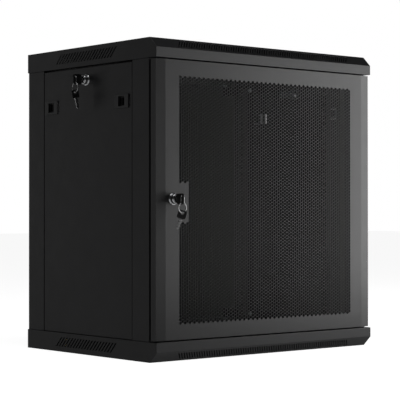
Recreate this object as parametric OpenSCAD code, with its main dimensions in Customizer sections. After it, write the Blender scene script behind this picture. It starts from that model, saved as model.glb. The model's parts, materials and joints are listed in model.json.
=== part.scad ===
// Wall-mount 19-inch network cabinet, 12 rack units.
// Millimetres, +Z up, front towards -Y. The origin is the middle of the bottom face.

/* [Cabinet] */
// Width over the covers
cab_w = 600; // [580:1:640]
// Depth over the covers
cab_d = 450; // [450:1:520]
// Rack units between the covers
rack_units = 12; // [12:1:15]
// Height of each cover
cover_h = 40; // [36:1:44]
// Size of the chamfer along the front of each cover
chamfer = 20; // [16:1:22]
// Sheet thickness of the covers, frames and panels
sheet = 1.5; // [1.2:0.1:2]

/* [Side panels] */
// Depth of a front corner post
front_post_d = 54; // [50:1:58]
// Depth of a rear corner post
rear_post_d = 58; // [54:1:62]
// Distance from the outside of a cover to the skin of a side panel
side_inset = 2.5; // [2:0.5:4]
// Height of a slide catch bezel
catch_h = 28; // [24:1:30]
// Width of a slide catch bezel
catch_w = 46; // [44:1:48]

/* [Door] */
// Distance from the front of the covers to the face of the door
door_inset = 3.3; // [3:0.1:4]
// Width of the perforated field
field_w = 483; // [440:1:492]
// Height of the perforated field
field_h = 492; // [440:1:494]
// Distance from the middle of the door lock to the edge of the covers
lock_edge = 45; // [43:1:46]
// Radius of the hinge pins
pin_r = 3; // [2.5:0.25:3]

/* [Locks] */
// Radius of the lock's flange
lock_flange_r = 12.2; // [11.5:0.1:13]
// Radius of the lock's barrel
lock_barrel_r = 10; // [9.8:0.1:10.5]
// Height of a key bow
bow_h = 21; // [19:1:22]
// Thickness of a key bow
bow_t = 3.5; // [3:0.1:4]
// Height of the wire loop between the middles of its wire
loop_h = 33; // [32:1:36]
// Radius of the loop's wire
wire_r = 0.8; // [0.6:0.05:0.9]

/* [Hidden] */
$fn = 48;

// Heights and half widths that everything else hangs on
rack_unit = 44.45;
rack_h = rack_units * rack_unit;
cab_h = rack_h + 2 * cover_h + 21.6;
half_w = cab_w / 2;
half_d = cab_d / 2;
top_z = cab_h - cover_h;
mid_z = cab_h / 2;
rack_bottom = mid_z - rack_h / 2;

// Bodywork between the covers
skin_x = half_w - 2;
panel_x = half_w - side_inset;
post_front_y = -half_d + 25;
post_rear_y = half_d - sheet;
panel_front_y = post_front_y + front_post_d + 1.5;
panel_rear_y = post_rear_y - rear_post_d - 1.5;
panel_mid_y = (panel_front_y + panel_rear_y) / 2;
panel_z0 = cover_h + 0.6;
panel_z1 = top_z - 3.5;
panel_fold = 10;
rebate_in = 15;
lip_w = 14;
front_lip_d = 44;
frame_z0 = cover_h;
frame_z1 = top_z;
post_in = 32;
member_h = 8;
member_front_d = 20;
member_rear_d = 30;
screw_x = half_w - 40;
screw_ys = [post_front_y + 10, half_d - 7];

// Vent slots punched in the covers
side_vent_count = 20;
side_vent_pitch = 10;
side_vent_h = 20;
side_vent_lean = 19;
side_vent_mid_y = 10;
side_vent_z = 10.5;
front_vent_count = 73;
front_vent_pitch = 6.5;
front_vent_w = 2.6;
front_vent_h = 18;
front_vent_lean = 13;
vent_w = 4;

// Openings and fixings in the covers
fan_x = 120;
fan_y = -20;
fan_hole_pitch = 105;
fan_opening_r = 56;
fan_screw_r = 2.25;
guard_w = 134;
guard_t = 1;
guard_ring_step = 12;
guard_ring_w = 6;
guard_rings = 4;
cable_w = 300;
cable_d = 60;
cable_y = 150;
plate_t = 1.5;
plate_overlap = 10;
wall_hole_x = 100;
wall_hole_z = 520;
wall_hole_r = 5;
rear_cable_w = 220;
rear_cable_h = 90;
rear_cable_z = mid_z - 190;

// 19-inch rails: EIA hole columns and spacing within each unit
rail_hole_x = 465.1 / 2;
rail_opening_x = 450.8 / 2;
rail_hole = 9.5;
rail_t = 2;
rail_leaf_x = 251;
rail_web_d = 26;
rail_front_y = -150;
rail_rear_y = 130;
unit_holes = [6.35, 22.225, 38.1];
brace_h = 22;
brace_w = 22;
bolt_r = 3;
slot_len = 70;
rail_bolt_ys = [rail_front_y + rail_web_d * 0.6, rail_rear_y - rail_web_d * 0.6];

// Door
door_y = -half_d + door_inset;
door_t = 1.2;
door_x = half_w - 2.8;
door_bend_x = half_w - 25.8;
door_corner_y = door_y + 1.7;
door_back_y = post_front_y - 4.4;
door_gap = 2.6;
door_z0 = cover_h + door_gap;
door_z1 = top_z - door_gap;
field_z0 = mid_z - field_h / 2 - 0.5;
field_t = 0.6;
notch_w = 23.9;
notch_up = 29;
notch_down = 45;
lock_x = -half_w + lock_edge;
lock_z = mid_z + 1.5;
stiff_x = 262;
stiff_w = 18;
stiff_d = 11;
pin_x = half_w - 10;
pin_y = -half_d + 13;
pin_hole_r = pin_r + 0.06;
collar_r = 4.2;

// Side lock and slide catches
side_lock_z = top_z - 29;
catch_z = top_z - 80;
catch_rear_y = panel_rear_y - 28;
catch_front_y = panel_front_y + 32.5;
catch_proud = 2.4;
catch_window = 20;
catch_depth = 13;
catch_wall = 2;
catch_box_w = 38;
catch_box_h = 24;
slide_w = 25;
bolt_plate_t = 3;
bolt_plate_h = 16;
catch_gap = 0.4;
pocket_h = 15;
pocket_d = 11;

// Lock in its own frame: +Z out of the sheet, +Y up, sheet's outer face at Z 0
lock_flange_t = 3;
lock_out = 11;
lock_shank_r = 9.3;
lock_shank_l = 15;
lock_bore_r = 7.05;
plug_r = 7;
key_w = 7;
key_t = 2;
keyway_gap = 0.25;
bow_z0 = 12.5;
bow_w = 20;
bow_hole_r = 2.2;
bow_hole_y = 6.5;
bow_hole_z = bow_z0 + 16.2;
blade_l = 22;
nut_r = 13;
nut_t = 5;
cam_l = 34;
cam_w = 13;
cam_t = 2.5;
door_plug_l = 24;
side_plug_l = 14;
loop_neck = 4;
loop_bulb = 9.5;
loop_flare = 8;
flare_lap = 3;
flare_r = wire_r + 0.05;
wire_y = bow_hole_y - 0.6;
spare_y = wire_y - loop_h;
spare_tilt = 12;
door_spare_tilt = 18;
door_spare_yaw = 50;
spare_bow_h = 16.5;
spare_bow_w = 17.4;
spare_bow_t = 2.4;
spare_hole_r = 3.4;

// ---------- helpers ----------

// Box from its low corner to its high corner
module block(low, high) translate(low) cube(high - low);

// Copies at +x and -x
module both_sides() {
    children();
    mirror([1, 0, 0]) children();
}

// A row of leaning slots, drawn flat: x along the row, y up, y 0 at the slots' foot
module vent_row(count, pitch, height, lean, width) {
    first = -(count - 1) * pitch / 2;
    for (i = [0:count - 1])
        translate([first + i * pitch, 0])
            polygon([
                [-lean / 2 - width / 2, 0], [-lean / 2 + width / 2, 0],
                [lean / 2 + width / 2, height], [lean / 2 - width / 2, height]
            ]);
}

// Where the covers and the frames are screwed together
module screw_places()
    for (x = [-1, 1], y = screw_ys)
        translate([x * screw_x, y, 0]) children();

// ---------- covers ----------

// Outline of the upper cover from the side: y along the depth, chamfer at the front top
function cover_outline(inset) =
    let (t = inset, c = chamfer, k = inset * (sqrt(2) - 1)) [
        [-half_d + t, t], [-half_d + t, cover_h - c - k], [-half_d + c + k, cover_h - t],
        [half_d - t, cover_h - t], [half_d - t, t]
    ];

// Draws an outline of depth and height across the cabinet
module across(width)
    translate([-width / 2, 0, 0]) rotate([90, 0, 90]) linear_extrude(width) children();

// Sheet pan of a cover, its rim folded in, opening down
module cover_pan() {
    difference() {
        across(cab_w) polygon(cover_outline(0));
        across(cab_w - 2 * sheet) polygon(cover_outline(sheet));
        block(
            [-half_w + lip_w, -half_d + front_lip_d, -1],
            [half_w - lip_w, half_d - lip_w, sheet + 1]
        );
        // Chamfer vents
        translate([0, -half_d + chamfer / 2, cover_h - chamfer / 2])
            rotate([45, 0, 0])
                translate([0, -front_vent_h / 2, -sheet - 1])
                    linear_extrude(sheet + 2)
                        vent_row(
                            front_vent_count, front_vent_pitch, front_vent_h,
                            front_vent_lean, front_vent_w
                        );
        // Hinge pin hole in the rim
        translate([pin_x, pin_y, -1]) cylinder(r = pin_hole_r, h = sheet + 2);
        // Screw holes down into the frames
        screw_places() translate([0, 0, -1]) cylinder(r = bolt_r + 0.1, h = sheet + 2);
    }
}

// Side vents, from one side wall through to the other
module side_vents(z)
    translate([0, side_vent_mid_y, z])
        across(cab_w + 2)
            vent_row(side_vent_count, side_vent_pitch, side_vent_h, -side_vent_lean, vent_w);

// Cable-entry cut-out through the flat of a cover
module cable_cut(z)
    block([-cable_w / 2, cable_y - cable_d / 2, z - 2], [cable_w / 2, cable_y + cable_d / 2, z + 2]);

module top_cover() {
    color("#2b2b2d")
        difference() {
            translate([0, 0, top_z]) cover_pan();
            side_vents(top_z + side_vent_z);
            cable_cut(cab_h);
            for (s = [-1, 1])
                translate([s * fan_x, fan_y, cab_h - 3]) {
                    cylinder(r = fan_opening_r, h = 6);
                    for (x = [-1, 1], y = [-1, 1])
                        translate([x, y, 0] * fan_hole_pitch / 2) cylinder(r = fan_screw_r, h = 6);
                }
            for (x = [-1, 1])
                translate([x * (cable_w / 2 + 5), cable_y, cab_h - 3]) cylinder(r = bolt_r, h = 6);
        }
}

module bottom_cover() {
    color("#2b2b2d")
        difference() {
            translate([0, 0, cover_h]) mirror([0, 0, 1]) cover_pan();
            side_vents(cover_h - side_vent_z - side_vent_h + 1.5);
            cable_cut(0);
            for (x = [-1, 1])
                translate([x * (cable_w / 2 + 5), cable_y, -3]) cylinder(r = bolt_r, h = 6);
        }
}

// Pressed guard under a fan opening: round slots left as rings, held by three spokes
module fan_guard(x) {
    color("#242426")
        translate([x, fan_y, cab_h - sheet - guard_t])
            difference() {
                block([-guard_w / 2, -guard_w / 2, 0], [guard_w / 2, guard_w / 2, guard_t]);
                for (i = [1:guard_rings])
                    difference() {
                        translate([0, 0, -1]) cylinder(r = i * guard_ring_step + guard_ring_w, h = 3);
                        translate([0, 0, -2]) cylinder(r = i * guard_ring_step, h = 5);
                        for (a = [0, 45, 90, 135])
                            rotate([0, 0, a]) cube([guard_w, 4, 8], center = true);
                    }
                for (cx = [-1, 1], cy = [-1, 1])
                    translate([cx, cy, 0] * fan_hole_pitch / 2 - [0, 0, 1])
                        cylinder(r = fan_screw_r, h = 3);
            }
}

// Cover plate over a cable-entry cut-out, inside the cover, with its two screws' holes
module cable_plate(z) {
    color("#29292b")
        difference() {
            block(
                [-cable_w / 2 - plate_overlap, cable_y - cable_d / 2 - plate_overlap, z],
                [cable_w / 2 + plate_overlap, cable_y + cable_d / 2 + plate_overlap, z + plate_t]
            );
            for (x = [-1, 1])
                translate([x * (cable_w / 2 + 5), cable_y, z - 1]) cylinder(r = bolt_r, h = plate_t + 2);
        }
}

// ---------- frames ----------

// Folded section of a front corner post on the left, seen from above
module front_post_section() {
    x0 = -skin_x;
    y0 = post_front_y;
    y1 = post_front_y + front_post_d;
    polygon([
        [x0, y0], [x0 + post_in, y0], [x0 + post_in, y0 + sheet], [x0 + sheet, y0 + sheet],
        [x0 + sheet, y1 - sheet], [x0 + rebate_in, y1 - sheet], [x0 + rebate_in, y1 + 8],
        [x0 + rebate_in - sheet, y1 + 8], [x0 + rebate_in - sheet, y1], [x0, y1]
    ]);
}

// Folded section of a rear corner post on the left, seen from above
module rear_post_section() {
    x0 = -skin_x;
    y0 = post_rear_y - rear_post_d;
    y1 = post_rear_y;
    polygon([
        [x0, y0], [x0 + rebate_in - sheet, y0], [x0 + rebate_in - sheet, y0 - 8],
        [x0 + rebate_in, y0 - 8], [x0 + rebate_in, y0 + sheet], [x0 + sheet, y0 + sheet],
        [x0 + sheet, y1 - sheet], [x0 + post_in, y1 - sheet], [x0 + post_in, y1], [x0, y1]
    ]);
}

// Angles across the cabinet, top and bottom, between two posts: dir is towards the middle
module cross_members(y, dir, flange_d) {
    span = skin_x - post_in + 1;
    for (z = [frame_z0, frame_z1 - member_h])
        block([-span, min(y, y + dir * sheet), z], [span, max(y, y + dir * sheet), z + member_h]);
    for (z = [frame_z0, frame_z1 - sheet])
        block([-span, min(y, y + dir * flange_d), z], [span, max(y, y + dir * flange_d), z + sheet]);
}

// Two posts and two cross members, drilled for the screws of the covers
module frame(y, dir, flange_d) {
    difference() {
        union() {
            both_sides()
                translate([0, 0, frame_z0]) linear_extrude(frame_z1 - frame_z0) children();
            cross_members(y, dir, flange_d);
        }
        screw_places()
            translate([0, 0, frame_z0 - 1]) cylinder(r = bolt_r + 0.1, h = frame_z1 - frame_z0 + 2);
    }
}

module front_frame()
    color("#303032") frame(post_front_y, 1, member_front_d) front_post_section();

module rear_frame()
    color("#303032") frame(post_rear_y, -1, member_rear_d) rear_post_section();

// Back sheet inside the rear frame, with wall-mount holes and a cable opening
module back_panel() {
    y1 = post_rear_y - sheet;
    color("#2c2c2e")
        difference() {
            block(
                [-skin_x + 22, y1 - sheet, frame_z0 + sheet + 0.5],
                [skin_x - 22, y1, frame_z1 - sheet - 0.5]
            );
            for (x = [-1, 1], z = [-1, 1])
                translate([x * wall_hole_x, y1 + 1, mid_z + z * wall_hole_z / 2])
                    rotate([90, 0, 0]) cylinder(r = wall_hole_r, h = sheet + 2);
            block(
                [-rear_cable_w / 2, y1 - sheet - 1, rear_cable_z - rear_cable_h / 2],
                [rear_cable_w / 2, y1 + 1, rear_cable_z + rear_cable_h / 2]
            );
        }
}

// ---------- 19-inch rails ----------

// Left-hand rail: a punched leaf facing the front or the rear, and a web along the depth
module rail(y, web_dir) {
    z0 = rack_bottom;
    z1 = rack_bottom + rack_h;
    color("#3a3b3d")
        difference() {
            union() {
                block([-rail_leaf_x, min(y, y + web_dir * rail_t), z0],
                      [-rail_opening_x, max(y, y + web_dir * rail_t), z1]);
                block([-rail_leaf_x - rail_t, min(y, y + web_dir * rail_web_d), z0 - 6],
                      [-rail_leaf_x, max(y, y + web_dir * rail_web_d), z1 + 6]);
            }
            for (u = [0:rack_units - 1], h = unit_holes)
                translate([-rail_hole_x, y, z0 + u * rack_unit + h])
                    cube([rail_hole, 4 * rail_t, rail_hole], center = true);
            for (z = [z0 + 4, z1 - 4])
                translate([-rail_leaf_x - rail_t - 1, y + web_dir * rail_web_d * 0.6, z])
                    rotate([0, 90, 0]) cylinder(r = bolt_r + 0.1, h = rail_t + 2);
        }
}

// Left-hand depth bar that carries the rails: an angle with long slots for the rail bolts
module depth_bar(z_low, flange_low) {
    x1 = -rail_leaf_x - rail_t;
    x0 = x1 - sheet - 0.5;
    y0 = post_front_y + 2;
    y1 = post_rear_y - 2 * sheet - 1;
    leaf_z = flange_low ? z_low : z_low + brace_h - sheet;
    color("#343537")
        difference() {
            union() {
                block([x0, y0, z_low], [x1, y1, z_low + brace_h]);
                block([x1 - brace_w, y0, leaf_z], [x1, y1, leaf_z + sheet]);
            }
            for (y = rail_bolt_ys)
                block(
                    [x0 - 1, y - slot_len / 4, rail_bolt_z(flange_low) - bolt_r - 0.1],
                    [x1 + 1, y + slot_len / 2, rail_bolt_z(flange_low) + bolt_r + 0.1]
                );
        }
}

function rail_bolt_z(low) = low ? rack_bottom + 4 : rack_bottom + rack_h - 4;

// One bolt with its nut, its axis along X, closed on a rail's web and a depth bar
module rail_bolt() {
    grip = rail_t + sheet + 0.5;
    rotate([0, 90, 0]) {
        translate([0, 0, -grip / 2 - 4]) cylinder(r = bolt_r, h = grip + 4);
        translate([0, 0, grip / 2]) cylinder(r = 5, h = 3);
        translate([0, 0, -grip / 2 - 3]) cylinder(r = 5.5, h = 3, $fn = 6);
    }
}

module rail_bolts() {
    color("#c9cbce")
        both_sides()
            for (low = [true, false], y = rail_bolt_ys)
                translate([-rail_leaf_x - rail_t - (sheet + 0.5 - rail_t) / 2, y, rail_bolt_z(low)])
                    rail_bolt();
}

// Screws through the covers' rims into the frames' flanges, their heads inside the covers
module frame_screws() {
    color("#c9cbce")
        screw_places() {
            translate([0, 0, frame_z1 - sheet]) cylinder(r = bolt_r, h = 2 * sheet);
            translate([0, 0, frame_z1 + sheet]) cylinder(r = 5, h = 3);
            translate([0, 0, frame_z0 - sheet]) cylinder(r = bolt_r, h = 2 * sheet);
            translate([0, 0, frame_z0 - sheet - 3]) cylinder(r = 5, h = 3);
        }
}

// Earth studs with their nuts inside the covers
module earth_studs() {
    color("#b98f4a")
        for (s = [-1, 1])
            translate([s * 225, 190, sheet]) {
                cylinder(r = bolt_r, h = 16);
                cylinder(r = 5.5, h = 4, $fn = 6);
            }
}

// ---------- door ----------

// Folded door sheet seen from above: flat face, shallow bends near its edges, side returns
module door_section() {
    t = door_t;
    face = [
        [-door_x, door_back_y], [-door_x, door_corner_y], [-door_bend_x, door_y],
        [door_bend_x, door_y], [door_x, door_corner_y], [door_x, door_back_y]
    ];
    back = [
        [door_x - t, door_back_y], [door_x - t, door_corner_y + t], [door_bend_x, door_y + t],
        [-door_bend_x, door_y + t], [-door_x + t, door_corner_y + t], [-door_x + t, door_back_y]
    ];
    polygon(concat(face, back));
}

// Perforated field, less the plain notch beside the lock
module field_outline()
    difference() {
        translate([-field_w / 2, field_z0]) square([field_w, field_h]);
        translate([-field_w / 2 - 1, lock_z - notch_down])
            square([notch_w + 1, notch_up + notch_down]);
    }

// Draws an outline of width and height through the door, from depth y0 to y1
module through_door(y0, y1)
    translate([0, y1, 0]) rotate([90, 0, 0]) linear_extrude(y1 - y0) children();

module door_panel() {
    color("#3c3c3e")
        difference() {
            union() {
                translate([0, 0, door_z0]) linear_extrude(door_z1 - door_z0) door_section();
                for (z = [door_z0, door_z1 - door_t])
                    translate([0, 0, z])
                        linear_extrude(door_t)
                            polygon([
                                [-door_x + door_t, door_back_y], [-door_x + door_t, door_corner_y + door_t],
                                [-door_bend_x, door_y + door_t / 2], [door_bend_x, door_y + door_t / 2],
                                [door_x - door_t, door_corner_y + door_t], [door_x - door_t, door_back_y]
                            ]);
            }
            through_door(door_y - 1, door_y + door_t + 1) field_outline();
            translate([lock_x, door_y - 1, lock_z])
                rotate([-90, 0, 0]) cylinder(r = lock_shank_r, h = 4);
            translate([pin_x, pin_y, door_z0 - 1]) cylinder(r = pin_hole_r, h = 4);
            translate([pin_x, pin_y, door_z1 - 3]) cylinder(r = pin_hole_r, h = 4);
        }
}

// Perforated sheet; its plain solid is thinned to the weight of the punched one
module door_mesh() {
    color("#2f2f31")
        through_door(door_y, door_y + field_t) field_outline();
}

// Channel section of a stiffener, opening to the door's back
module stiffener(x, z0, z1) {
    y0 = door_y + door_t;
    difference() {
        block([x - stiff_w / 2, y0, z0], [x + stiff_w / 2, y0 + stiff_d, z1]);
        block([x - stiff_w / 2 + 1.2, y0 - 1, z0 - 1], [x + stiff_w / 2 - 1.2, y0 + stiff_d - 1.2, z1 + 1]);
    }
}

module door_stiffeners() {
    color("#343436") {
        stiffener(stiff_x - 6, door_z0 + 40, door_z1 - 40);
        stiffener(-stiff_x + 6, door_z0 + 20, lock_z - 32);
        stiffener(-stiff_x + 6, lock_z + 32, door_z1 - 20);
    }
}

// Bracket inside the door's top corner that guides the sprung hinge pin
module hinge_bracket() {
    z = door_z1 - 42;
    color("#343436")
        difference() {
            union() {
                block([pin_x - 14, pin_y - 4.6, z], [door_x - door_t, pin_y + 5.5, z + 2]);
                block([door_x - door_t - 1.2, pin_y - 4.6, z - 12], [door_x - door_t, pin_y + 5.5, z]);
            }
            translate([pin_x, pin_y, z - 1]) cylinder(r = pin_hole_r, h = 4);
        }
}

// Sprung pin: shank, collar that the spring pushes, and a finger lever
module hinge_pin_upper() {
    z = door_z1 - 42;
    color("#b9bcc0") {
        translate([pin_x, pin_y, z - 6]) cylinder(r = pin_r, h = 42 + 6 + 3.5 + 4);
        translate([pin_x, pin_y, z + 22]) cylinder(r = collar_r, h = 3);
        translate([pin_x, pin_y, z + 28]) rotate([0, -90, 0]) cylinder(r = 1.5, h = 16);
    }
}

// Spring between the bracket and the pin's collar
module hinge_spring() {
    color("#9ea1a5")
        translate([pin_x, pin_y, door_z1 - 40])
            difference() {
                cylinder(r = collar_r, h = 20);
                translate([0, 0, -1]) cylinder(r = collar_r - 0.9, h = 22);
            }
}

// Fixed pin riveted into the bottom cover's rim, with the collar that the door turns on
module hinge_pin_lower() {
    color("#b9bcc0")
        translate([pin_x, pin_y, 0]) {
            translate([0, 0, cover_h - sheet]) cylinder(r = pin_r, h = 14);
            translate([0, 0, cover_h]) cylinder(r = collar_r, h = door_gap - 0.3);
            translate([0, 0, cover_h - sheet - 2]) cylinder(r = collar_r + 0.8, h = 2);
        }
}

// ---------- locks and keys, in the lock's own frame ----------

// Puts a lock on the door, or on the left or right side panel
module on_door() translate([lock_x, door_y, lock_z]) rotate([90, 0, 0]) children();
module on_left() translate([-panel_x, panel_mid_y, side_lock_z]) rotate([90, 0, -90]) children();
module on_right() translate([panel_x, panel_mid_y, side_lock_z]) rotate([90, 0, 90]) children();

module lock_barrel() {
    color("#d8dadd")
        difference() {
            union() {
                cylinder(r = lock_flange_r, h = lock_flange_t);
                cylinder(r = lock_barrel_r, h = lock_out);
                translate([0, 0, -lock_shank_l + 2]) cylinder(r = lock_shank_r - 0.05, h = lock_shank_l);
            }
            translate([0, 0, -lock_shank_l]) cylinder(r = lock_bore_r, h = lock_shank_l + lock_out + 2);
        }
}

module lock_nut(sheet_t) {
    color("#c2c4c8")
        translate([0, 0, -sheet_t - nut_t])
            difference() {
                cylinder(r = nut_r, h = nut_t, $fn = 6);
                translate([0, 0, -1]) cylinder(r = lock_shank_r, h = nut_t + 2);
            }
}

// Turning plug with its keyway; it runs back to the cam
module lock_plug(length) {
    color("#a9acb0")
        difference() {
            translate([0, 0, -length]) cylinder(r = plug_r, h = length + lock_out + 0.6);
            block(
                [-key_t / 2 - keyway_gap, -key_w / 2 - keyway_gap, bow_z0 - blade_l - 1],
                [key_t / 2 + keyway_gap, key_w / 2 + keyway_gap, lock_out + 2]
            );
        }
}

// Cam on the end of the plug, pointing along dir, with its screw
module lock_cam(length, dir) {
    color("#b4b7bb")
        translate([0, 0, -length - cam_t])
            rotate([0, 0, dir]) {
                block([-cam_w / 2, -cam_w / 2, 0], [cam_w / 2, cam_l, cam_t]);
                translate([0, 0, -2.5]) cylinder(r = 4, h = 2.5);
            }
}

// Rounded square bow with the loop's hole, in the plane of Y and Z
module bow(low_y, high_y, low_z, high_z, hole_y, hole_z, hole_r, thick) {
    corner = 3;
    translate([-thick / 2, 0, 0])
        rotate([90, 0, 90])
            linear_extrude(thick)
                difference() {
                    union() {
                        translate([low_y + corner, low_z])
                            square([high_y - low_y - 2 * corner, high_z - low_z]);
                        translate([low_y, low_z + corner])
                            square([high_y - low_y, high_z - low_z - 2 * corner]);
                        for (y = [low_y + corner, high_y - corner], z = [low_z + corner, high_z - corner])
                            translate([y, z]) circle(r = corner);
                    }
                    translate([hole_y, hole_z]) circle(r = hole_r);
                }
}

// Key in the lock: moulded bow and blade
module key() {
    color("#141415")
        bow(
            -bow_h / 2, bow_h / 2, bow_z0, bow_z0 + bow_w,
            bow_hole_y, bow_hole_z, bow_hole_r, bow_t
        );
    color("#c6c8cb")
        block([-key_t / 2, -key_w / 2, bow_z0 - blade_l], [key_t / 2, key_w / 2, bow_z0]);
}

// Arc of wire about a centre in the plane of the loop
module wire_arc(centre, radius, from, sweep, r)
    translate([centre.x, centre.y, 0])
        rotate([0, 0, from])
            rotate_extrude(angle = sweep)
                translate([radius, 0]) circle(r = r);

// Pear-shaped wire loop hanging in the key's bow: arch, neck, flare and bulb, all tangent
module key_loop() {
    arch_y = wire_y - loop_neck;
    bulb_y = wire_y - loop_h + loop_bulb;
    flare_x = loop_neck + loop_flare;
    flare_y = bulb_y + sqrt(pow(loop_flare + loop_bulb, 2) - pow(flare_x, 2));
    meet = atan2(flare_y - bulb_y, flare_x);
    color("#b3b6ba")
        translate([0, 0, bow_hole_z]) {
            wire_arc([0, arch_y], loop_neck, 0, 180, wire_r);
            for (s = [-1, 1])
                translate([s * loop_neck, flare_y, 0])
                    rotate([-90, 0, 0]) cylinder(r = wire_r, h = arch_y - flare_y);
            wire_arc([flare_x, flare_y], loop_flare, 180 - flare_lap, meet + 2 * flare_lap, flare_r);
            wire_arc([-flare_x, flare_y], loop_flare, -meet - flare_lap, meet + 2 * flare_lap, flare_r);
            wire_arc([0, bulb_y], loop_bulb, 180 - meet, 180 + 2 * meet, wire_r);
        }
}

// Spare key hanging from the foot of the loop, turned about its length by yaw, its blade leaning
module spare_key(yaw, tilt) {
    hole = -wire_r + 0.4;
    top = hole + spare_hole_r + 2;
    foot = top - spare_bow_h;
    translate([0, spare_y, bow_hole_z])
        rotate([0, yaw, 0])
            rotate([tilt, 0, 0]) {
                color("#141415")
                    bow(
                        foot, top, -spare_bow_w / 2, spare_bow_w / 2,
                        hole, 0, spare_hole_r, spare_bow_t
                    );
                color("#c6c8cb")
                    block([-key_t / 2, foot - blade_l, -key_w / 2], [key_t / 2, foot, key_w / 2]);
            }
}

module door_lock_barrel() on_door() lock_barrel();
module door_lock_nut() on_door() lock_nut(door_t);
module door_lock_plug() on_door() lock_plug(door_plug_l);
module door_lock_cam() on_door() lock_cam(door_plug_l, 180);
module door_key() on_door() key();
module door_key_loop() on_door() key_loop();
module door_spare_key() on_door() spare_key(door_spare_yaw, door_spare_tilt);

// ---------- side panels, drawn on the left ----------

// Where the two slide catches sit along the depth
catch_ys = [catch_rear_y, catch_front_y];

module side_panel() {
    x0 = -panel_x;
    x1 = -panel_x + panel_fold;
    color("#2a2a2c")
        difference() {
            block([x0, panel_front_y, panel_z0], [x1, panel_rear_y, panel_z1]);
            block(
                [x0 + sheet, panel_front_y + sheet, panel_z0 + sheet],
                [x1 + 1, panel_rear_y - sheet, panel_z1 - sheet]
            );
            translate([x0 - 1, panel_mid_y, side_lock_z])
                rotate([0, 90, 0]) cylinder(r = lock_shank_r, h = sheet + 2);
            for (y = catch_ys) {
                block(
                    [x0 - 1, y - catch_box_w / 2, catch_z - catch_box_h / 2],
                    [x0 + sheet + 1, y + catch_box_w / 2, catch_z + catch_box_h / 2]
                );
                // Narrow slot in front of the bezel for the catch's clip
                block(
                    [x0 - 1, y - catch_w / 2 - 4, catch_z - catch_box_h / 2],
                    [x0 + sheet + 1, y - catch_w / 2 - 0.8, catch_z + catch_box_h / 2]
                );
            }
        }
}

// Moulded bezel with its finger window and the box behind it that guides the bolt
module catch_bezel(y) {
    x0 = -panel_x;
    w = catch_wall;
    difference() {
        union() {
            block([x0 - catch_proud, y - catch_w / 2, catch_z - catch_h / 2],
                  [x0, y + catch_w / 2, catch_z + catch_h / 2]);
            block([x0, y - catch_box_w / 2, catch_z - catch_box_h / 2],
                  [x0 + catch_depth, y + catch_box_w / 2, catch_z + catch_box_h / 2]);
        }
        block([x0 - catch_proud - 1, y - catch_window / 2, catch_z - catch_window / 2],
              [x0 + 2, y + catch_window / 2, catch_z + catch_window / 2]);
        block([x0 + 0.5, y - catch_box_w / 2 + w, catch_z - catch_box_h / 2 + w],
              [x0 + catch_depth + 1, y + catch_box_w / 2 - w, catch_z + catch_box_h / 2 - w]);
    }
}

module side_catch_bezels() {
    color("#4a4b4d")
        for (y = catch_ys) catch_bezel(y);
}

// Sliding bolt drawn back: two finger pockets with a rib behind the window, and a plate
// that reaches behind the post's lip when it is pushed along dir
module slide_catch(y, dir) {
    x0 = -panel_x;
    x1 = -skin_x + rebate_in + catch_gap;
    half = catch_box_h / 2 - catch_wall - catch_gap;
    back = y - dir * (catch_box_w / 2 - catch_wall - catch_gap);
    front = back + dir * slide_w;
    reach = dir > 0 ? panel_rear_y - 7.5 : panel_front_y + 7.5;
    color("#3b3c3e")
        difference() {
            union() {
                block([x0 + 1.2, min(back, front), catch_z - half], [x1, max(back, front), catch_z + half]);
                block([x1, min(back, reach), catch_z - bolt_plate_h / 2],
                      [x1 + bolt_plate_t, max(back, reach), catch_z + bolt_plate_h / 2]);
            }
            for (edge = [[-10, -3.2], [-1.4, 6.6]])
                block([x0, y + min(dir * edge), catch_z - pocket_h / 2],
                      [x0 + pocket_d, y + max(dir * edge), catch_z + pocket_h / 2]);
        }
}

// Names of the pieces on each side
module side_panel_left() side_panel();
module side_panel_right() mirror([1, 0, 0]) side_panel();
module side_catch_bezels_left() side_catch_bezels();
module side_catch_bezels_right() mirror([1, 0, 0]) side_catch_bezels();
module side_catch_front_left() slide_catch(catch_front_y, -1);
module side_catch_front_right() mirror([1, 0, 0]) slide_catch(catch_front_y, -1);
module side_catch_rear_left() slide_catch(catch_rear_y, 1);
module side_catch_rear_right() mirror([1, 0, 0]) slide_catch(catch_rear_y, 1);
module side_lock_barrel_left() on_left() lock_barrel();
module side_lock_barrel_right() on_right() lock_barrel();
module side_lock_nut_left() on_left() lock_nut(sheet);
module side_lock_nut_right() on_right() lock_nut(sheet);
module side_lock_plug_left() on_left() lock_plug(side_plug_l);
module side_lock_plug_right() on_right() lock_plug(side_plug_l);
module side_lock_cam_left() on_left() lock_cam(side_plug_l, 90);
module side_lock_cam_right() on_right() lock_cam(side_plug_l, -90);
module side_key_left() on_left() key();
module side_key_right() on_right() key();
module side_key_loop_left() on_left() key_loop();
module side_key_loop_right() on_right() key_loop();
module side_spare_key_left() on_left() spare_key(0, spare_tilt);
module side_spare_key_right() on_right() spare_key(0, spare_tilt);

// ---------- assembly ----------

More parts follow.
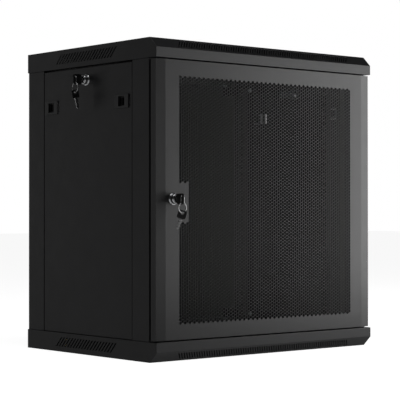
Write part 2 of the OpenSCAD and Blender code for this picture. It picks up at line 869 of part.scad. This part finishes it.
top_cover();
bottom_cover();
front_frame();
rear_frame();
back_panel();
fan_guard(-fan_x);  // fan_guard_left
fan_guard(fan_x);  // fan_guard_right
cable_plate(cab_h - sheet - plate_t);  // top_cable_plate
cable_plate(sheet);  // bottom_cable_plate
rail(rail_front_y, 1);  // rail_front_left
mirror([1, 0, 0]) rail(rail_front_y, 1);  // rail_front_right
rail(rail_rear_y, -1);  // rail_rear_left
mirror([1, 0, 0]) rail(rail_rear_y, -1);  // rail_rear_right
depth_bar(top_z - sheet - brace_h, false);  // depth_bar_upper_left
mirror([1, 0, 0]) depth_bar(top_z - sheet - brace_h, false);  // depth_bar_upper_right
depth_bar(cover_h + sheet, true);  // depth_bar_lower_left
mirror([1, 0, 0]) depth_bar(cover_h + sheet, true);  // depth_bar_lower_right
rail_bolts();
frame_screws();
earth_studs();
hinge_pin_lower();
door_panel();
door_mesh();
door_stiffeners();
hinge_bracket();
hinge_pin_upper();
hinge_spring();
door_lock_barrel();
door_lock_nut();
door_lock_plug();
door_lock_cam();
door_key();
door_key_loop();
door_spare_key();
side_panel_left();
side_catch_bezels_left();
side_catch_front_left();
side_catch_rear_left();
side_lock_barrel_left();
side_lock_nut_left();
side_lock_plug_left();
side_lock_cam_left();
side_key_left();
side_key_loop_left();
side_spare_key_left();
side_panel_right();
side_catch_bezels_right();
side_catch_front_right();
side_catch_rear_right();
side_lock_barrel_right();
side_lock_nut_right();
side_lock_plug_right();
side_lock_cam_right();
side_key_right();
side_key_loop_right();
side_spare_key_right();
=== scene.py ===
"""Looks of the wall-mount 19-inch cabinet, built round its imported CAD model.

Metres, +Z up, front towards -Y.
"""

import json
import math

import bmesh
import bpy
from mathutils import Matrix, Vector
from mathutils.geometry import delaunay_2d_cdt


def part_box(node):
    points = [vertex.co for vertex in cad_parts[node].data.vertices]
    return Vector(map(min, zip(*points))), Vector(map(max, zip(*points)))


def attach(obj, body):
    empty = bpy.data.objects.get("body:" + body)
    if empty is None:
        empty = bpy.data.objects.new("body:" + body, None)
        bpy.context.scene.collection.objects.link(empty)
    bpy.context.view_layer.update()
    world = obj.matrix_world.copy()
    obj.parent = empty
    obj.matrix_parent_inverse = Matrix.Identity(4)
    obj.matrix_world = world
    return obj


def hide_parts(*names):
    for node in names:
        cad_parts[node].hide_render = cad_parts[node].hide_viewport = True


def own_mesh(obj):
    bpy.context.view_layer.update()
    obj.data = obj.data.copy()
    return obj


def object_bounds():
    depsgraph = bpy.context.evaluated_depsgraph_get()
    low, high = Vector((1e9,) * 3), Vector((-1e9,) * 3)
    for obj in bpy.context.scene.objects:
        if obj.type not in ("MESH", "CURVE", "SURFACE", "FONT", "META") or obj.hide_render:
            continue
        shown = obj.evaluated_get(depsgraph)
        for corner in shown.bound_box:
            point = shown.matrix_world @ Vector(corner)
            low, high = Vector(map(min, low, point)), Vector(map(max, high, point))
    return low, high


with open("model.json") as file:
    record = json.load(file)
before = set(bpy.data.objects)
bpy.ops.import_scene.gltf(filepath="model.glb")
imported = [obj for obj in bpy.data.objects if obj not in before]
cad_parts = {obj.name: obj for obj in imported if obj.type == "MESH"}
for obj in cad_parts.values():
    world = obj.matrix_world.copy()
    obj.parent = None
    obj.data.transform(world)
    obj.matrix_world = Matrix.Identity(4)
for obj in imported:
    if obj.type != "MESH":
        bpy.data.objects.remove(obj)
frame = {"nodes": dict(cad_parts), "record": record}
cad_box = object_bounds()
nodes = frame["nodes"]

MM = 0.001


# ---------------------------------------------------------------- materials


def new_material(name):
    m = bpy.data.materials.new(name)
    m.use_nodes = True
    t = m.node_tree
    t.nodes.clear()
    out = t.nodes.new("ShaderNodeOutputMaterial")
    p = t.nodes.new("ShaderNodeBsdfPrincipled")
    t.links.new(p.outputs["BSDF"], out.inputs["Surface"])
    return m, t, p


def noise(t, scale, detail=2.0, rough=0.5, stretch=None):
    """Noise over the piece's own coordinates, scale in features per metre."""
    coord = t.nodes.new("ShaderNodeTexCoord")
    n = t.nodes.new("ShaderNodeTexNoise")
    n.inputs["Scale"].default_value = scale
    n.inputs["Detail"].default_value = detail
    n.inputs["Roughness"].default_value = rough
    if stretch:
        s = t.nodes.new("ShaderNodeMapping")
        s.inputs["Scale"].default_value = stretch
        t.links.new(coord.outputs["Object"], s.inputs["Vector"])
        t.links.new(s.outputs["Vector"], n.inputs["Vector"])
    else:
        t.links.new(coord.outputs["Object"], n.inputs["Vector"])
    return n.outputs["Fac"]


def spread(t, fac, low, high, at0=0.3, at1=0.7):
    """Maps a noise to a range of values."""
    r = t.nodes.new("ShaderNodeMapRange")
    r.inputs["From Min"].default_value = at0
    r.inputs["From Max"].default_value = at1
    r.inputs["To Min"].default_value = low
    r.inputs["To Max"].default_value = high
    t.links.new(fac, r.inputs["Value"])
    return r.outputs["Result"]


def tint(t, fac, a, b):
    """Mixes two colours by a noise."""
    m = t.nodes.new("ShaderNodeMix")
    m.data_type = "RGBA"
    m.inputs["A"].default_value = (*a, 1)
    m.inputs["B"].default_value = (*b, 1)
    t.links.new(fac, m.inputs["Factor"])
    return m.outputs["Result"]


def bump(t, p, parts):
    """Stacks bumps: (height, strength, distance in metres)."""
    last = None
    for height, strength, distance in parts:
        b = t.nodes.new("ShaderNodeBump")
        b.inputs["Strength"].default_value = strength
        b.inputs["Distance"].default_value = distance
        t.links.new(height, b.inputs["Height"])
        if last:
            t.links.new(last, b.inputs["Normal"])
        last = b.outputs["Normal"]
    t.links.new(last, p.inputs["Normal"])


def powder_coat(name, dark, light, rough_low, rough_high, grain=0.25, specular=0.5):
    """Fine-textured powder coat: orange peel, a sandy grain and slow uneven gloss."""
    m, t, p = new_material(name)
    slow = noise(t, 9, 3)
    t.links.new(tint(t, spread(t, slow, 0, 1), dark, light), p.inputs["Base Color"])
    t.links.new(spread(t, noise(t, 35, 3), rough_low, rough_high), p.inputs["Roughness"])
    p.inputs["Specular IOR Level"].default_value = specular
    bump(t, p, [(noise(t, 420, 2), grain * 0.5, 0.0002), (noise(t, 1500, 2, 0.6), grain, 0.0001)])
    return m


def metal(name, dark, light, rough_low, rough_high, stretch=None, scale=60, grain=0.1):
    m, t, p = new_material(name)
    n = noise(t, scale, 4, 0.6, stretch)
    p.inputs["Metallic"].default_value = 1.0
    t.links.new(tint(t, spread(t, n, 0, 1), dark, light), p.inputs["Base Color"])
    t.links.new(spread(t, n, rough_low, rough_high), p.inputs["Roughness"])
    bump(t, p, [(noise(t, scale * 12, 2, 0.6, stretch), grain, 0.00005)])
    return m


def plastic(name, dark, light, rough_low, rough_high, grain=0.2):
    m, t, p = new_material(name)
    t.links.new(tint(t, spread(t, noise(t, 60, 3), 0, 1), dark, light), p.inputs["Base Color"])
    t.links.new(spread(t, noise(t, 180, 2), rough_low, rough_high), p.inputs["Roughness"])
    bump(t, p, [(noise(t, 2200, 2), grain, 0.00006)])
    return m


MATERIALS = {
    "powder_coat": powder_coat(
        "powder_coat", (0.009, 0.009, 0.01), (0.0105, 0.0105, 0.0115), 0.43, 0.47
    ),
    "door_coat": powder_coat(
        "door_coat", (0.0105, 0.0105, 0.011), (0.0125, 0.0125, 0.013), 0.35, 0.39, 0.2
    ),
    # rail_coat is the same black coat as powder_coat, coloured darker as painted shade, so that the
    # rails inside the cabinet look shaded through the door's perforation
    "rail_coat": powder_coat(
        "rail_coat", (0.006, 0.006, 0.007), (0.009, 0.009, 0.01), 0.5, 0.6, specular=0.3
    ),
    "zinc": metal("zinc", (0.52, 0.54, 0.57), (0.66, 0.67, 0.68), 0.25, 0.42),
    "chrome": metal(
        "chrome", (0.7, 0.71, 0.73), (0.78, 0.79, 0.8), 0.1, 0.18, scale=90, grain=0.04
    ),
    "key_steel": metal(
        "key_steel", (0.55, 0.55, 0.56), (0.68, 0.68, 0.68), 0.2, 0.34, (1, 1, 8), 120
    ),
    "brass": metal("brass", (0.55, 0.4, 0.16), (0.66, 0.5, 0.22), 0.28, 0.4),
    "bow_plastic": plastic(
        "bow_plastic", (0.006, 0.006, 0.0065), (0.009, 0.009, 0.0095), 0.3, 0.4
    ),
    "catch_plastic": plastic(
        "catch_plastic", (0.013, 0.013, 0.014), (0.017, 0.017, 0.018), 0.38, 0.46
    ),
    # slide_plastic is coloured near black as painted shade, so that the side catches' windows, where
    # the slides sit sunken behind the bezels, look dark
    "slide_plastic": plastic(
        "slide_plastic", (0.005, 0.005, 0.0055), (0.008, 0.008, 0.0085), 0.42, 0.52
    ),
}
SLOT_OF = {s["node"]: s["material_slot"] for s in frame["record"]["subparts"]}


def dress(obj, slot_name):
    """Gives a piece its material and names the record's slot."""
    obj.data.materials.clear()
    obj.data.materials.append(MATERIALS[slot_name])
    return obj


# ---------------------------------------------------------------- mesh tools


def piece(name, mesh, body, slot_name, *replaced):
    """A new piece of the object on a CAD body."""
    o = bpy.data.objects.new(name, mesh)
    bpy.context.scene.collection.objects.link(o)
    dress(o, slot_name)
    if replaced:
        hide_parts(*replaced)
    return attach(o, body)


def body_of(node):
    bodies = frame["record"]["behaviour"]["bodies"]
    return next(body for body, members in bodies.items() if node in members)


def shade(mesh, angle=32):
    """Smooth shading with the edges sharper than angle kept crisp."""
    bm = bmesh.new()
    bm.from_mesh(mesh)
    limit = math.radians(angle)
    for f in bm.faces:
        f.smooth = True
    for e in bm.edges:
        e.smooth = len(e.link_faces) == 2 and e.calc_face_angle(0) < limit
    bm.to_mesh(mesh)
    bm.free()
    return mesh


def bevel(obj, width, angle, harden):
    """Rounded edges where the faces turn by more than angle."""
    b = obj.modifiers.new("edges", "BEVEL")
    b.width = width
    b.segments = 2
    b.limit_method = "ANGLE"
    b.angle_limit = math.radians(angle)
    b.harden_normals = harden


def soften(obj, width):
    """Rounded edges on a CAD node, as modifiers."""
    w = obj.modifiers.new("weld", "WELD")
    w.merge_threshold = 1e-5
    bevel(obj, width, 35, False)
    return obj


def clean_copy(node, angle=32):
    """A joined-up copy of a CAD node's mesh, for a new piece that stands for it."""
    me = nodes[node].data.copy()
    bm = bmesh.new()
    bm.from_mesh(me)
    bmesh.ops.remove_doubles(bm, verts=bm.verts, dist=1e-6)
    bmesh.ops.dissolve_limit(bm, angle_limit=math.radians(0.5), verts=bm.verts, edges=bm.edges)
    bm.to_mesh(me)
    bm.free()
    me.materials.clear()
    return shade(me, angle)


def smooth_piece(node, width=0.0003, angle=32):
    """Stands for a round CAD node with the same shape, smooth and with softened edges."""
    mesh = clean_copy(node, angle)
    o = piece(node + "_finish", mesh, body_of(node), SLOT_OF[node], node)
    bevel(o, width, angle, True)
    return o


def lathe(profile, segments=96):
    """Closed ring of (r, z) points turned about Z."""
    bm = bmesh.new()
    rings = []
    for i in range(segments):
        a = 2 * math.pi * i / segments
        c, s = math.cos(a), math.sin(a)
        rings.append([bm.verts.new((r * c, r * s, z)) for r, z in profile])
    n = len(profile)
    for i in range(segments):
        a, b = rings[i], rings[(i + 1) % segments]
        for k in range(n):
            bm.faces.new((a[k], b[k], b[(k + 1) % n], a[(k + 1) % n]))
    bmesh.ops.recalc_face_normals(bm, faces=bm.faces)
    me = bpy.data.meshes.new("lathe")
    bm.to_mesh(me)
    bm.free()
    return shade(me, 35)


def curve_mesh(splines, tube=0.0, thick=0.0, edge=0.0, flat=False, cyclic=True, res=4):
    """Mesh of a curve: a round tube along a path, or a flat outline, thickened and edged."""
    cu = bpy.data.curves.new("c", "CURVE")
    cu.dimensions = "2D" if flat else "3D"
    cu.fill_mode = "BOTH" if flat else "FULL"
    for pts in splines:
        sp = cu.splines.new("POLY")
        sp.points.add(len(pts) - 1)
        for q, v in zip(sp.points, pts):
            q.co = (*v, 1) if len(v) == 3 else (*v, 0, 1)
        sp.use_cyclic_u = cyclic
    if flat:
        cu.extrude = thick / 2 - edge
        cu.bevel_depth = edge
        cu.offset = -edge
        cu.bevel_resolution = 2
    else:
        cu.bevel_depth = tube
        cu.bevel_resolution = res
        cu.use_fill_caps = not cyclic
    o = bpy.data.objects.new("c", cu)
    bpy.context.scene.collection.objects.link(o)
    dg = bpy.context.evaluated_depsgraph_get()
    me = bpy.data.meshes.new_from_object(o.evaluated_get(dg))
    bpy.data.objects.remove(o)
    bm = bmesh.new()
    bm.from_mesh(me)
    bmesh.ops.remove_doubles(bm, verts=bm.verts, dist=1e-6)
    bmesh.ops.recalc_face_normals(bm, faces=bm.faces)
    bm.to_mesh(me)
    bm.free()
    return shade(me, 40)


def join_meshes(parts):
    """One mesh of several (mesh, matrix) pairs."""
    bm = bmesh.new()
    for me, matrix in parts:
        me.transform(matrix)
        bm.from_mesh(me)
    out = bpy.data.meshes.new("joined")
    bm.to_mesh(out)
    bm.free()
    return out


def arc(cx, cy, r, a0, a1, n):
    """n + 1 points round a centre from angle a0 to a1, in degrees."""
    angles = [math.radians(a0 + (a1 - a0) * i / n) for i in range(n + 1)]
    return [(cx + r * math.cos(a), cy + r * math.sin(a)) for a in angles]


def in_metres(points):
    return [tuple(v * MM for v in p) for p in points]


def rounded(x0, x1, y0, y1, r, n=6):
    """Rounded rectangle, counter-clockwise."""
    return (
        arc(x1 - r, y1 - r, r, 0, 90, n)
        + arc(x0 + r, y1 - r, r, 90, 180, n)
        + arc(x0 + r, y0 + r, r, 180, 270, n)
        + arc(x1 - r, y0 + r, r, 270, 360, n)
    )


# ---------------------------------------------------------------- CAD nodes kept or smoothed

# width of the rounded edges of each CAD node that stays
SHEETS = {
    "top_cover": 0.0007, "bottom_cover": 0.0007,
    "front_frame": 0.0006, "rear_frame": 0.0006, "back_panel": 0.0004,
    "fan_guard_left": 0.0003, "fan_guard_right": 0.0003,
    "top_cable_plate": 0.0004, "bottom_cable_plate": 0.0004,
    "rail_front_left": 0.0004, "rail_front_right": 0.0004,
    "rail_rear_left": 0.0004, "rail_rear_right": 0.0004,
    "depth_bar_upper_left": 0.0004, "depth_bar_upper_right": 0.0004,
    "depth_bar_lower_left": 0.0004, "depth_bar_lower_right": 0.0004,
    "door_stiffeners": 0.0004, "hinge_bracket": 0.0003,
    "side_panel_left": 0.0007, "side_panel_right": 0.0007,
    "side_catch_bezels_left": 0.0006, "side_catch_bezels_right": 0.0006,
    "side_catch_front_left": 0.0005, "side_catch_front_right": 0.0005,
    "side_catch_rear_left": 0.0005, "side_catch_rear_right": 0.0005,
    "door_lock_cam": 0.0003, "side_lock_cam_left": 0.0003, "side_lock_cam_right": 0.0003,
}
for name, width in SHEETS.items():
    dress(soften(nodes[name], width), SLOT_OF[name])

ROUND = (
    "rail_bolts", "frame_screws", "earth_studs", "hinge_pin_lower", "hinge_pin_upper",
    "door_lock_nut", "side_lock_nut_left", "side_lock_nut_right",
    "door_lock_plug", "side_lock_plug_left", "side_lock_plug_right",
)
for name in ROUND:
    smooth_piece(name)


# ---------------------------------------------------------------- door sheet and its perforation

mesh_lo, mesh_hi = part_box("door_mesh")
lock_lo, lock_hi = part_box("door_lock_barrel")
lock_z = (lock_lo.z + lock_hi.z) / 2
SHEET_T = 1.2 * MM
NOTCH_W = 23.9 * MM
NOTCH_TOP = lock_z + 29 * MM
NOTCH_FOOT = lock_z - 45 * MM


def door_sheet():
    """The folded sheet round the field, sharp where they meet, so that they join unseen."""
    me = clean_copy("door_panel", 3)
    bm = bmesh.new()
    bm.from_mesh(me)
    weight = bm.edges.layers.float.new("bevel_weight_edge")
    eps = 2e-5

    def in_field(v):
        return (
            abs(v.co.x) < mesh_hi.x + eps
            and mesh_lo.z - eps < v.co.z < mesh_hi.z + eps
            and v.co.y < mesh_lo.y + SHEET_T + eps
        )

    for e in bm.edges:
        if len(e.link_faces) == 2 and e.calc_face_angle(0) > math.radians(30):
            if not (in_field(e.verts[0]) and in_field(e.verts[1])):
                e[weight] = 1.0
    bm.to_mesh(me)
    bm.free()
    o = piece("door_sheet", me, "door", "door_coat", "door_panel")
    b = o.modifiers.new("folds", "BEVEL")
    b.width = 0.0009
    b.segments = 3
    b.limit_method = "WEIGHT"
    b.harden_normals = True
    return o


def perforated_sheet(columns, rows, pitch_x, pitch_z, open_part):
    """The field as one closed sheet of hexagonal holes, plain at the notch. Lengths in mm.

    The columns are staggered by half a pitch. open_part is a hole's width over its cell's.
    """
    x0, x1, z0, z1 = (v / MM for v in (mesh_lo.x, mesh_hi.x, mesh_lo.z, mesh_hi.z))
    notch_x, notch_top, notch_foot = x0 + NOTCH_W / MM, NOTCH_TOP / MM, NOTCH_FOOT / MM
    outline = [
        (x0, z0), (x1, z0), (x1, z1), (x0, z1),
        (x0, notch_top), (notch_x, notch_top), (notch_x, notch_foot), (x0, notch_foot),
    ]
    wide = pitch_x / 2 + pitch_z**2 / (8 * pitch_x)
    hexagon = [(wide, 0), (pitch_x - wide, pitch_z / 2), (wide - pitch_x, pitch_z / 2)]
    hexagon = [(x * open_part, z * open_part) for x, z in hexagon]
    hexagon += [(-x, -z) for x, z in hexagon]
    rim = 0.3
    points, loops = list(outline), [list(range(len(outline)))]
    for c in range(columns):
        cx = (c + 0.5 - columns / 2) * pitch_x
        count = rows - c % 2
        for k in range(count):
            cz = (z0 + z1) / 2 + (k + 0.5 - count / 2) * pitch_z
            ring = [(cx + x, cz + z) for x, z in hexagon]
            if not all(x0 + rim < x < x1 - rim and z0 + rim < z < z1 - rim for x, z in ring):
                continue
            if any(x < notch_x + rim and notch_foot - rim < z < notch_top + rim for x, z in ring):
                continue
            loops.append(list(range(len(points), len(points) + 6)))
            points += ring
    flat = [Vector(p) for p in points]
    verts, _, faces, _, _, sources = delaunay_2d_cdt(flat, [], loops, 1, 1e-6)
    # faces that come from the outline alone are web, the rest are holes
    faces = [f for f, source in zip(faces, sources) if list(source) == [0]]
    y0, y1 = mesh_lo.y, mesh_lo.y + SHEET_T
    coords = [(v.x * MM, y, v.y * MM) for y in (y0, y1) for v in verts]
    back = len(verts)
    edges = {(a, b) for f in faces for a, b in zip(f, f[1:] + f[:1])}
    skin = [list(f) for f in faces] + [[i + back for i in reversed(f)] for f in faces]
    skin += [[b, a, a + back, b + back] for a, b in edges if (b, a) not in edges]
    me = bpy.data.meshes.new("perforated")
    me.from_pydata(coords, [], skin)
    return shade(me, 40)


door_sheet()
field = perforated_sheet(columns=80, rows=74, pitch_x=6.0, pitch_z=6.62, open_part=0.87)
piece("door_perforation", field, "door", "door_coat", "door_mesh")


# ---------------------------------------------------------------- locks, keys and loops

# each lock has its own frame, in mm: +Z out of the sheet, +Y up, 0 at the sheet's outer face
BARREL_OUT = 11
BORE_R = 7.05
BARREL_R = 10
BOW_Z0 = 12.5
BOW_DEPTH = 20
BOW_HALF_H = 10.5
BOW_T = 3.5
HOLE = (6.5, BOW_Z0 + 16.2)
HOLE_R = 2.2
BLADE = (22, 7, 2)
WIRE_R = 0.8
WIRE_Y = HOLE[0] - 0.6
LOOP_H = 33
SPARE_HOLE_Y = -0.4
SPARE_HOLE_R = 3.4
SPARE_H = 16.5
SPARE_HALF_W = 8.7
SPARE_T = 2.4


def lock_frame(barrel, out, along):
    """The lock's frame, from the box of its barrel and its directions in the row's frame."""
    lo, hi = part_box(barrel)
    out, along = Vector(out), Vector(along)
    origin = (lo + hi) / 2
    for i in range(3):
        if out[i]:
            origin[i] = (hi[i] if out[i] > 0 else lo[i]) - out[i] * BARREL_OUT * MM
    turn = Matrix((along, Vector((0, 0, 1)), out)).transposed().to_4x4()
    return Matrix.Translation(origin) @ turn


# nodes of each lock, its directions, and how the spare key hangs: yaw and lean in degrees
LOCKS = (
    (
        "door_lock_barrel", "door_key", "door_key_loop", "door_spare_key",
        (0, -1, 0), (1, 0, 0), 50, 18,
    ),
    (
        "side_lock_barrel_left", "side_key_left", "side_key_loop_left", "side_spare_key_left",
        (-1, 0, 0), (0, -1, 0), 0, 12,
    ),
    (
        "side_lock_barrel_right", "side_key_right", "side_key_loop_right", "side_spare_key_right",
        (1, 0, 0), (0, 1, 0), 0, 12,
    ),
)


def quarter(r, z, wide, high):
    """Quarter of an ellipse from its top down to its side, as (r, z) points."""
    angles = [math.radians(a) for a in range(0, 91, 10)]
    return [(r + wide * math.sin(a), z + high * math.cos(a)) for a in angles]


def barrel_mesh():
    """Chrome barrel: domed flange, rounded nose, threaded shank."""
    pts = [(BORE_R, -13), (BORE_R, 10.7), (7.25, 10.95)]
    pts += quarter(7.4, 8.4, 2.6, 2.6)
    pts += [(BARREL_R, 3.5), (BARREL_R + 0.1, 3.15)]
    pts += quarter(10.2, 0.3, 2.0, 2.7)
    pts += [(12.0, 0.0), (9.2, 0.0), (9.2, -1.4)]
    z = -1.4
    while z > -12.6:
        pts += [(8.75, z - 0.5), (9.22, z - 1.0)]
        z -= 1.0
    pts += [(8.9, -13)]
    return lathe(in_metres(pts))


def bow_mesh(y0, y1, z0, z1, hole, hole_r, thick):
    """Moulded key bow in the plane of Y and Z: a rim round a sunken field, and an eye."""
    outer = in_metres(rounded(y0, y1, z0, z1, 3.2))
    inner = in_metres(rounded(y0 + 1.9, y1 - 1.9, z0 + 1.9, z1 - 1.9, 1.9))
    ring = in_metres(arc(hole[0], hole[1], hole_r, 0, 360, 28)[:-1])
    boss = in_metres(arc(hole[0], hole[1], hole_r + 1.1, 0, 360, 28)[:-1])
    layers = (
        ((outer, ring), thick - 0.9, 0.3),
        ((outer, inner), thick, 0.45),
        ((boss, ring), thick - 0.1, 0.3),
    )
    return join_meshes([
        (curve_mesh(outlines, thick=t * MM, edge=edge * MM, flat=True), STAND)
        for outlines, t, edge in layers
    ])


# outlines are drawn flat in X and Y; X then runs along the frame's Y and Y along its Z
STAND = Matrix(((0, 0, 1, 0), (1, 0, 0, 0), (0, 1, 0, 0), (0, 0, 0, 1)))
# the same, but X runs along the frame's Z and Y stays
HANG = Matrix(((0, 0, 1, 0), (0, 1, 0, 0), (1, 0, 0, 0), (0, 0, 0, 1)))


def blade_mesh(length, width, thick):
    """Flat key blade along -Y from the bow, with cuts along both edges and a bevelled tip."""
    w = width / 2
    cuts = [1.0, 0.3, 1.4, 0.7, 1.1]
    step = (length - 8) / len(cuts)
    one = [(-w, 0)]
    for i, c in enumerate(cuts):
        y = -4 - i * step
        one += [(-w, y), (-w + c, y - step * 0.38), (-w + c, y - step * 0.62)]
    one += [(-w, -4 - len(cuts) * step), (-w * 0.35, -length)]
    two = [(-x, y) for x, y in reversed(one)]
    return curve_mesh([in_metres(one + two)], thick=thick * MM, edge=0.22 * MM, flat=True)


def loop_path():
    """Pear-shaped loop: arch, neck, flare and bulb, all tangent."""
    neck, bulb, flare = 4.0, 9.5, 8.0
    arch_y = WIRE_Y - neck
    bulb_y = WIRE_Y - LOOP_H + bulb
    fx = neck + flare
    fy = bulb_y + math.sqrt((flare + bulb) ** 2 - fx**2)
    meet = math.degrees(math.atan2(fy - bulb_y, fx))
    pts = arc(0, arch_y, neck, 0, 180, 20)
    pts += arc(-fx, fy, flare, 0, -meet, 8)
    pts += arc(0, bulb_y, bulb, 180 - meet, 360 + meet, 44)[1:]
    pts += arc(fx, fy, flare, 180 + meet, 180, 8)[1:]
    return in_metres([(x, y, HOLE[1]) for x, y in pts])


for barrel, key, loop, spare, out, along, yaw, lean in LOCKS:
    place = lock_frame(barrel, out, along)
    me = barrel_mesh()
    me.transform(place)
    piece(f"{barrel}_turned", me, body_of(barrel), "chrome", barrel)

    me = bow_mesh(-BOW_HALF_H, BOW_HALF_H, BOW_Z0, BOW_Z0 + BOW_DEPTH, HOLE, HOLE_R, BOW_T)
    me.transform(place)
    piece(f"{key}_bow", me, body_of(key), "bow_plastic", key)
    # the blade runs inwards from the bow's foot
    me = blade_mesh(*BLADE)
    me.transform(place @ Matrix.Translation((0, 0, BOW_Z0 * MM)) @ STAND)
    piece(f"{key}_blade", me, body_of(key), "key_steel", key)

    me = curve_mesh([loop_path()], tube=WIRE_R * MM)
    me.transform(place)
    piece(f"{loop}_wire", me, body_of(loop), "key_steel", loop)

    # the spare key hangs from the loop's foot, turned about its length and leaning
    hang = (
        place
        @ Matrix.Translation((0, (WIRE_Y - LOOP_H) * MM, HOLE[1] * MM))
        @ Matrix.Rotation(math.radians(yaw), 4, "Y")
        @ Matrix.Rotation(math.radians(lean), 4, "X")
    )
    top = SPARE_HOLE_Y + SPARE_HOLE_R + 2
    foot = top - SPARE_H
    me = bow_mesh(
        foot, top, -SPARE_HALF_W, SPARE_HALF_W, (SPARE_HOLE_Y, 0), SPARE_HOLE_R, SPARE_T
    )
    me.transform(hang)
    piece(f"{spare}_bow", me, body_of(spare), "bow_plastic", spare)
    me = blade_mesh(*BLADE)
    me.transform(hang @ Matrix.Translation((0, foot * MM, 0)) @ HANG)
    piece(f"{spare}_blade", me, body_of(spare), "key_steel", spare)


# ---------------------------------------------------------------- wound spring on the upper hinge pin

spring_lo, spring_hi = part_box("hinge_spring")
turns, wire_r = 8, 0.5 * MM
coil_r = (spring_hi.x - spring_lo.x) / 2 - wire_r - 0.05 * MM
centre = (spring_lo + spring_hi) / 2
height = spring_hi.z - spring_lo.z - 2 * wire_r
steps = turns * 20
path = []
for i in range(steps + 1):
    f = i / steps
    # the end turns lie flat
    rise = min(1.0, max(0.0, (f * turns - 0.8) / (turns - 1.6)))
    a = 2 * math.pi * turns * f
    path.append((
        centre.x + coil_r * math.cos(a),
        centre.y + coil_r * math.sin(a),
        spring_lo.z + wire_r + height * rise,
    ))
coil_mesh = curve_mesh([path], tube=wire_r, cyclic=False, res=3)
coil = piece("hinge_spring_coil", coil_mesh, "door", "zinc", "hinge_spring")
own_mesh(coil)


# ---------------------------------------------------------------- stage, light and camera

WORLD_LIGHT = 0.02
FLOOR_SEEN_GLOW = 0.92
FLOOR_LIGHT_GLOW = 0.14
WHITE = (1, 1, 1, 1)


def light_node(tree, kind, strength):
    """White background or emission node of the given strength."""
    node = tree.nodes.new(kind)
    node.inputs["Color"].default_value = WHITE
    node.inputs["Strength"].default_value = strength
    return node


def for_camera(tree, seen, other):
    """Mix that gives the camera one shader and every other ray the other."""
    path = tree.nodes.new("ShaderNodeLightPath")
    mix = tree.nodes.new("ShaderNodeMixShader")
    tree.links.new(path.outputs["Is Camera Ray"], mix.inputs["Fac"])
    tree.links.new(other, mix.inputs[1])
    tree.links.new(seen, mix.inputs[2])
    return mix.outputs["Shader"]


# white to the camera, almost dark as a light
world = bpy.data.worlds.new("studio")
bpy.context.scene.world = world
world.use_nodes = True
wt = world.node_tree
wt.nodes.clear()
w_out = wt.nodes.new("ShaderNodeOutputWorld")
w_seen = light_node(wt, "ShaderNodeBackground", 1.0).outputs["Background"]
w_light = light_node(wt, "ShaderNodeBackground", WORLD_LIGHT).outputs["Background"]
wt.links.new(for_camera(wt, w_seen, w_light), w_out.inputs["Surface"])

# the floor takes shadows, glows white to the camera and only a little on the cabinet
bpy.ops.mesh.primitive_plane_add(size=30, location=(0, 0, cad_box[0].z))
floor = bpy.context.object
floor.name = "floor"
fm = bpy.data.materials.new("floor_white")
fm.use_nodes = True
ft = fm.node_tree
ft.nodes.clear()
f_out = ft.nodes.new("ShaderNodeOutputMaterial")
f_diff = ft.nodes.new("ShaderNodeBsdfDiffuse")
f_diff.inputs["Color"].default_value = (0.8, 0.8, 0.8, 1)


def glowing(strength):
    """The floor's own colour with a glow added."""
    glow = light_node(ft, "ShaderNodeEmission", strength)
    both = ft.nodes.new("ShaderNodeAddShader")
    ft.links.new(f_diff.outputs["BSDF"], both.inputs[0])
    ft.links.new(glow.outputs["Emission"], both.inputs[1])
    return both.outputs["Shader"]


f_all = for_camera(ft, glowing(FLOOR_SEEN_GLOW), glowing(FLOOR_LIGHT_GLOW))
ft.links.new(f_all, f_out.inputs["Surface"])
floor.data.materials.append(fm)


def area_light(name, place, target, width, height, power):
    data = bpy.data.lights.new(name, "AREA")
    data.shape = "RECTANGLE"
    data.size, data.size_y = width, height
    data.energy = power
    o = bpy.data.objects.new(name, data)
    bpy.context.scene.collection.objects.link(o)
    o.location = place
    o.rotation_euler = (Vector(target) - Vector(place)).to_track_quat("-Z", "Y").to_euler()


area_light("key_right", (2.17, -1.38, 0.5), (0.1, -0.2, 0.32), 1.5, 1.9, 37)
area_light("floor_card", (1.5, -1.7, 0.02), (1.5, -1.7, 1.0), 1.8, 1.8, 34)
area_light("fill_left", (-1.7, 2.3, 0.8), (-0.3, 0, 0.32), 1.2, 1.6, 2.1)
area_light("overhead", (-0.5, -0.6, 2.3), (-0.3, -0.2, 0.4), 1.4, 1.2, 8)

camera = bpy.data.objects.new("camera", bpy.data.cameras.new("camera"))
bpy.context.scene.collection.objects.link(camera)
camera.location = (-2.043, -2.434, 0.292)
camera.rotation_euler = (math.radians(90 + 0.503), math.radians(0.033), math.radians(-40.0))
camera.data.sensor_width = 36
# focal length of 1454 in a picture 400 wide, on a 36 mm sensor
camera.data.lens = 1454 / 400 * 36
camera.data.clip_start = 0.05
camera.data.clip_end = 60
bpy.context.scene.camera = camera
bpy.context.scene.view_settings.view_transform = "Standard"
